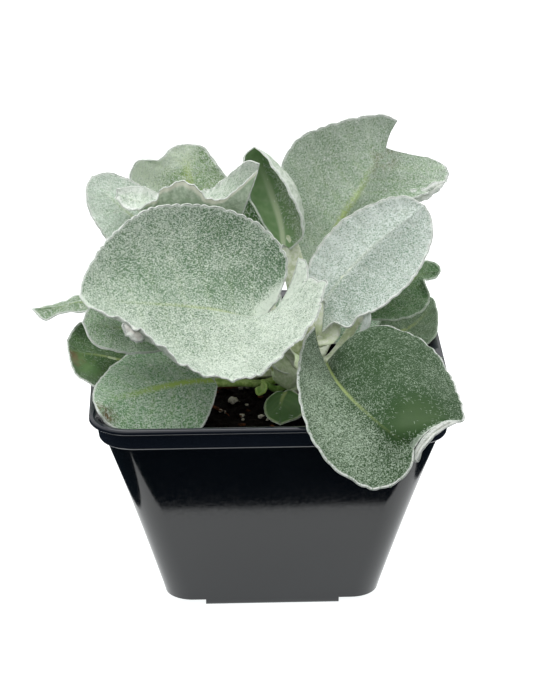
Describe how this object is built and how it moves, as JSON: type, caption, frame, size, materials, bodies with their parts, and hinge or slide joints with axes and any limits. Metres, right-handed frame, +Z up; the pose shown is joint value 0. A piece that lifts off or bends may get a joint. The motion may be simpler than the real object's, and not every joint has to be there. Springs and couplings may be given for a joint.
{
  "type": "potted foliage plant",
  "caption": "Silver felt-leaved bedding plant in a tapered square black nursery pot, with wavy scalloped leaves around a short crown.",
  "frame": {"origin": "centre of the underside of the pot, on the surface that it stands on", "axes": "+Z up, -Y towards the front face of the pot, +X to the right of the front"},
  "size_m": [0.138, 0.1343, 0.141],
  "materials": {
    "pot_plastic": "glossy moulded black",
    "potting_soil": "loose dark potting mix with bark and white grit",
    "crown_felt": "pale green with woolly felt",
    "leaf_front_left_felt": "felted leaf, silver hairs over green",
    "leaf_right_pale_felt": "felted leaf, silver hairs over green",
    "leaf_back_tall_felt": "felted leaf, silver hairs over green",
    "leaf_back_folded_felt": "felted leaf, silver hairs over green",
    "leaf_top_wavy_felt": "felted leaf, silver hairs over green",
    "leaf_back_left_felt": "felted leaf, silver hairs over green",
    "leaf_far_left_felt": "felted leaf, silver hairs over green",
    "leaf_edge_on_left_felt": "felted leaf, silver hairs over green",
    "leaf_under_left_felt": "felted leaf, silver hairs over green",
    "leaf_dark_left_felt": "felted leaf, silver hairs over green",
    "leaf_low_left_felt": "felted leaf, silver hairs over green",
    "leaf_over_rim_felt": "felted leaf, silver hairs over green",
    "leaf_small_front_felt": "felted leaf, silver hairs over green",
    "leaf_bud_front_felt": "felted leaf, silver hairs over green",
    "leaf_right_curled_felt": "felted leaf, silver hairs over green",
    "leaf_right_low_felt": "felted leaf, silver hairs over green",
    "leaf_back_shaded_felt": "felted leaf, silver hairs over green",
    "leaf_low_back_left_felt": "felted leaf, silver hairs over green",
    "leaf_low_back_right_felt": "felted leaf, silver hairs over green"
  },
  "bodies": {
    "root": {"pot": "pot_plastic", "soil": "potting_soil", "crown": "crown_felt", "leaf_front_left": "leaf_front_left_felt", "leaf_right_pale": "leaf_right_pale_felt", "leaf_back_tall": "leaf_back_tall_felt", "leaf_back_folded": "leaf_back_folded_felt", "leaf_top_wavy": "leaf_top_wavy_felt", "leaf_back_left": "leaf_back_left_felt", "leaf_far_left": "leaf_far_left_felt", "leaf_edge_on_left": "leaf_edge_on_left_felt", "leaf_under_left": "leaf_under_left_felt", "leaf_dark_left": "leaf_dark_left_felt", "leaf_low_left": "leaf_low_left_felt", "leaf_over_rim": "leaf_over_rim_felt", "leaf_small_front": "leaf_small_front_felt", "leaf_bud_front": "leaf_bud_front_felt", "leaf_right_curled": "leaf_right_curled_felt", "leaf_right_low": "leaf_right_low_felt", "leaf_back_shaded": "leaf_back_shaded_felt", "leaf_low_back_left": "leaf_low_back_left_felt", "leaf_low_back_right": "leaf_low_back_right_felt"}
  },
  "joints": []
}
